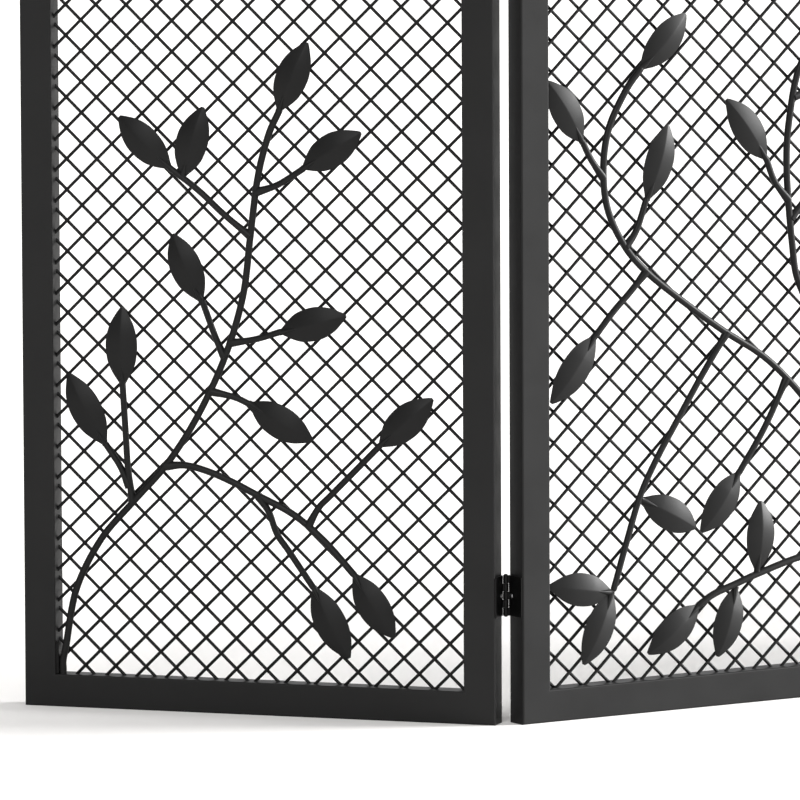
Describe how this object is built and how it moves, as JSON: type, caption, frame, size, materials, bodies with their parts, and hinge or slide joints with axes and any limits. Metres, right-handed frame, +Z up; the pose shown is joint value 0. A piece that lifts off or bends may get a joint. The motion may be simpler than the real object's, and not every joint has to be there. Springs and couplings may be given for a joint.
{
  "type": "fireplace screen",
  "caption": "Free-standing folding fireplace screen: a centre panel with a hinged wing on each side, of rectangular tube filled with diamond wire mesh and a forged vine of leaves.",
  "frame": {"origin": "on the floor, under the middle of the centre panel's bottom rail", "axes": "+X to the right along the centre panel as seen from the front, +Y to the back, where the wings fold, +Z up"},
  "size_m": [1.03, 0.2486, 0.762],
  "materials": {
    "frame": "satin black powder coat",
    "mesh": "satin black powder coat",
    "stems": "satin black powder coat",
    "leaves": "satin black powder coat",
    "hinges": "black oxide",
    "rivets": "bare steel"
  },
  "bodies": {
    "centre": {"centre_left_stile": "frame", "centre_right_stile": "frame", "centre_top_rail": "frame", "centre_bottom_rail": "frame", "centre_rising_wires": "mesh", "centre_falling_wires": "mesh", "centre_trunk": "stems", "centre_left_stems": "stems", "centre_right_stems": "stems", "centre_left_twigs": "stems", "centre_right_twigs": "stems", "centre_left_leaves": "leaves", "centre_right_leaves": "leaves", "centre_trunk_leaf": "leaves", "upper_left_centre_hinge_leaf": "hinges", "upper_left_hinge_pin": "hinges", "lower_left_centre_hinge_leaf": "hinges", "lower_left_hinge_pin": "hinges", "upper_right_centre_hinge_leaf": "hinges", "upper_right_hinge_pin": "hinges", "lower_right_centre_hinge_leaf": "hinges", "lower_right_hinge_pin": "hinges", "centre_hinge_rivets": "rivets"},
    "left_wing": {"left_wing_outer_stile": "frame", "left_wing_inner_stile": "frame", "left_wing_top_rail": "frame", "left_wing_bottom_rail": "frame", "left_wing_rising_wires": "mesh", "left_wing_falling_wires": "mesh", "left_wing_main_stem": "stems", "left_wing_side_stem": "stems", "left_wing_twigs": "stems", "left_wing_leaves": "leaves", "left_wing_stem_tab": "stems", "upper_left_wing_hinge_leaf": "hinges", "lower_left_wing_hinge_leaf": "hinges", "left_wing_hinge_rivets": "rivets"},
    "right_wing": {"right_wing_outer_stile": "frame", "right_wing_inner_stile": "frame", "right_wing_top_rail": "frame", "right_wing_bottom_rail": "frame", "right_wing_rising_wires": "mesh", "right_wing_falling_wires": "mesh", "right_wing_main_stem": "stems", "right_wing_side_stem": "stems", "right_wing_twigs": "stems", "right_wing_leaves": "leaves", "right_wing_stem_tab": "stems", "upper_right_wing_hinge_leaf": "hinges", "lower_right_wing_hinge_leaf": "hinges", "right_wing_hinge_rivets": "rivets"}
  },
  "joints": [
    {"name": "left_wing_hinge", "type": "hinge", "parent": "centre", "child": "left_wing", "pos_m": [-0.3073, 0.008, 0.381], "axis": [0, 0, 1], "range_deg": [-130, 50]},
    {"name": "right_wing_hinge", "type": "hinge", "parent": "centre", "child": "right_wing", "pos_m": [0.3073, 0.008, 0.381], "axis": [0, 0, -1], "range_deg": [-130, 50]}
  ]
}
